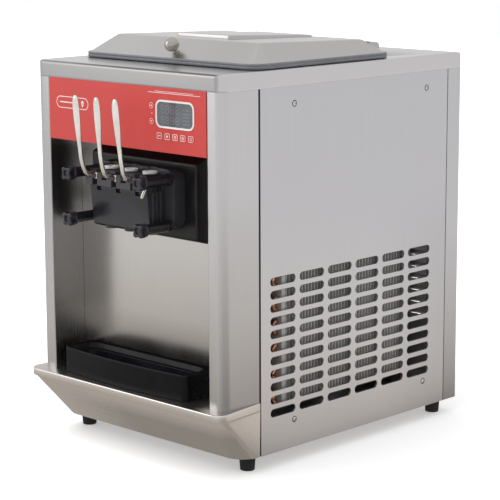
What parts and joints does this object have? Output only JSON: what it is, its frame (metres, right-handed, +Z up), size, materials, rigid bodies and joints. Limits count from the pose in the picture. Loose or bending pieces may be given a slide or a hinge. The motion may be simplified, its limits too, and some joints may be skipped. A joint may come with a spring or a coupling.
{
  "type": "soft serve machine",
  "caption": "Countertop soft serve machine with twin freezing cylinders, a lever dispensing head, drip tray, control panel and lidded hoppers in a vented steel cabinet.",
  "frame": {"origin": "middle of the overall footprint, on the counter under the feet", "axes": "+X to the right of a user facing the machine, +Y from the dispensing side to the back, +Z up"},
  "size_m": [0.548, 0.7814, 0.8095],
  "materials": {
    "brushed_steel": "brushed",
    "polished_steel": "polished",
    "red_panel": "satin",
    "black_plastic": "satin",
    "key_plastic": "satin",
    "bezel": "satin",
    "display": "gloss",
    "white_plastic": "gloss",
    "grey_rubber": "matte",
    "black_rubber": "matte",
    "copper": "satin",
    "aluminium": "mill",
    "cast_iron": "painted",
    "foam": "matte",
    "circuit_board": "satin"
  },
  "bodies": {
    "cabinet": {"base_pan": "brushed_steel", "inner_frame": "brushed_steel", "base_apron": "brushed_steel", "feet": "black_rubber", "top_cover": "brushed_steel", "front_columns": "brushed_steel", "side_panel_left": "brushed_steel", "side_panel_right": "brushed_steel", "rear_panel": "brushed_steel", "cover_screws": "polished_steel", "bay_liner": "brushed_steel", "control_panel": "red_panel", "control_board": "circuit_board", "display_bezel": "bezel", "display_window": "display", "head_housing": "black_plastic", "dispensing_head": "black_plastic", "head_seals": "black_rubber", "head_studs": "polished_steel", "lever_pin": "polished_steel", "nozzle_caps": "black_plastic", "lid_hinges": "brushed_steel", "hoppers": "brushed_steel", "freezing_cylinders": "polished_steel", "cylinder_insulation": "foam", "drive_motor": "cast_iron", "gearbox": "cast_iron", "drive_belt": "black_rubber", "condenser": "aluminium", "condenser_tubes": "copper", "fan_shroud": "brushed_steel", "fan_motor": "cast_iron", "compressor": "cast_iron", "power_cord": "black_plastic"},
    "lid": {"hopper_lid": "brushed_steel", "lid_trim": "grey_rubber", "lid_handle": "polished_steel"},
    "tray": {"drip_tray": "black_plastic"},
    "motor_rotor": {"motor_pulley": "aluminium"},
    "gearbox_input": {"gearbox_pulley": "aluminium"},
    "fan": {"fan_blade": "black_plastic"},
    "beater_l": {"beater_left": "white_plastic"},
    "beater_r": {"beater_right": "white_plastic"},
    "key_up_body": {"key_up": "key_plastic"},
    "key_down_body": {"key_down": "key_plastic"},
    "key_off_body": {"key_off": "key_plastic"},
    "key_auto_body": {"key_auto": "key_plastic"},
    "key_wash_body": {"key_wash": "key_plastic"},
    "key_cool_body": {"key_cool": "key_plastic"},
    "key_reset_body": {"key_reset": "key_plastic"},
    "knob_upper_left_body": {"knob_upper_left": "black_plastic"},
    "knob_upper_right_body": {"knob_upper_right": "black_plastic"},
    "knob_lower_left_body": {"knob_lower_left": "black_plastic"},
    "knob_lower_right_body": {"knob_lower_right": "black_plastic"},
    "lever_left_body": {"lever_left": "polished_steel"},
    "piston_left_body": {"piston_left": "white_plastic"},
    "lever_center_body": {"lever_center": "polished_steel"},
    "piston_center_body": {"piston_center": "white_plastic"},
    "lever_right_body": {"lever_right": "polished_steel"},
    "piston_right_body": {"piston_right": "white_plastic"}
  },
  "joints": [
    {"name": "key_up_press", "type": "slide", "parent": "cabinet", "child": "key_up_body", "axis": [0, 1, 0], "range_m": [0, 0.0006]},
    {"name": "key_down_press", "type": "slide", "parent": "cabinet", "child": "key_down_body", "axis": [0, 1, 0], "range_m": [0, 0.0006]},
    {"name": "key_off_press", "type": "slide", "parent": "cabinet", "child": "key_off_body", "axis": [0, 1, 0], "range_m": [0, 0.0006]},
    {"name": "key_auto_press", "type": "slide", "parent": "cabinet", "child": "key_auto_body", "axis": [0, 1, 0], "range_m": [0, 0.0006]},
    {"name": "key_wash_press", "type": "slide", "parent": "cabinet", "child": "key_wash_body", "axis": [0, 1, 0], "range_m": [0, 0.0006]},
    {"name": "key_cool_press", "type": "slide", "parent": "cabinet", "child": "key_cool_body", "axis": [0, 1, 0], "range_m": [0, 0.0006]},
    {"name": "key_reset_press", "type": "slide", "parent": "cabinet", "child": "key_reset_body", "axis": [0, 1, 0], "range_m": [0, 0.0006]},
    {"name": "knob_upper_left_turn", "type": "hinge", "parent": "cabinet", "child": "knob_upper_left_body", "pos_m": [-0.1, -0.33327, 0.552], "axis": [0, 1, 0], "continuous": true},
    {"name": "knob_upper_right_turn", "type": "hinge", "parent": "cabinet", "child": "knob_upper_right_body", "pos_m": [0.1, -0.33327, 0.552], "axis": [0, 1, 0], "continuous": true},
    {"name": "knob_lower_left_turn", "type": "hinge", "parent": "cabinet", "child": "knob_lower_left_body", "pos_m": [-0.1, -0.33327, 0.464], "axis": [0, 1, 0], "continuous": true},
    {"name": "knob_lower_right_turn", "type": "hinge", "parent": "cabinet", "child": "knob_lower_right_body", "pos_m": [0.1, -0.33327, 0.464], "axis": [0, 1, 0], "continuous": true},
    {"name": "lever_left_pull", "type": "hinge", "parent": "cabinet", "child": "lever_left_body", "pos_m": [-0.054, -0.33677, 0.548], "axis": [1, 0, 0], "range_deg": [0, 45]},
    {"name": "lever_center_pull", "type": "hinge", "parent": "cabinet", "child": "lever_center_body", "pos_m": [0, -0.33677, 0.548], "axis": [1, 0, 0], "range_deg": [0, 45]},
    {"name": "lever_right_pull", "type": "hinge", "parent": "cabinet", "child": "lever_right_body", "pos_m": [0.054, -0.33677, 0.548], "axis": [1, 0, 0], "range_deg": [0, 45]},
    {"name": "piston_left_lift", "type": "slide", "parent": "cabinet", "child": "piston_left_body", "axis": [0, 0, 1], "range_m": [0, 0.0284]},
    {"name": "piston_center_lift", "type": "slide", "parent": "cabinet", "child": "piston_center_body", "axis": [0, 0, 1], "range_m": [0, 0.0284]},
    {"name": "piston_right_lift", "type": "slide", "parent": "cabinet", "child": "piston_right_body", "axis": [0, 0, 1], "range_m": [0, 0.0284]},
    {"name": "lid_open", "type": "hinge", "parent": "cabinet", "child": "lid", "pos_m": [0, 0.16473, 0.778], "axis": [-1, 0, 0], "range_deg": [0, 85]},
    {"name": "tray_pull", "type": "slide", "parent": "cabinet", "child": "tray", "axis": [0, -1, 0], "range_m": [0, 0.13]},
    {"name": "motor_spin", "type": "hinge", "parent": "cabinet", "child": "motor_rotor", "pos_m": [0, 0.15373, 0.335], "axis": [0, 1, 0], "continuous": true},
    {"name": "gearbox_spin", "type": "hinge", "parent": "cabinet", "child": "gearbox_input", "pos_m": [0, 0.15373, 0.512], "axis": [0, 1, 0], "continuous": true},
    {"name": "beater_l_spin", "type": "hinge", "parent": "cabinet", "child": "beater_l", "pos_m": [-0.054, -0.09327, 0.512], "axis": [0, 1, 0], "continuous": true},
    {"name": "beater_r_spin", "type": "hinge", "parent": "cabinet", "child": "beater_r", "pos_m": [0.054, -0.09327, 0.512], "axis": [0, 1, 0], "continuous": true},
    {"name": "fan_spin", "type": "hinge", "parent": "cabinet", "child": "fan", "pos_m": [0.178, 0.03673, 0.26], "axis": [1, 0, 0], "continuous": true}
  ],
  "couplings": [
    {"joint": "piston_left_lift", "follows": "lever_left_pull", "m_per_rad": 0.036},
    {"joint": "piston_center_lift", "follows": "lever_center_pull", "m_per_rad": 0.036},
    {"joint": "piston_right_lift", "follows": "lever_right_pull", "m_per_rad": 0.036},
    {"joint": "gearbox_spin", "follows": "motor_spin", "ratio": 0.55556},
    {"joint": "beater_l_spin", "follows": "motor_spin", "ratio": 0.061728},
    {"joint": "beater_r_spin", "follows": "motor_spin", "ratio": -0.061728}
  ]
}
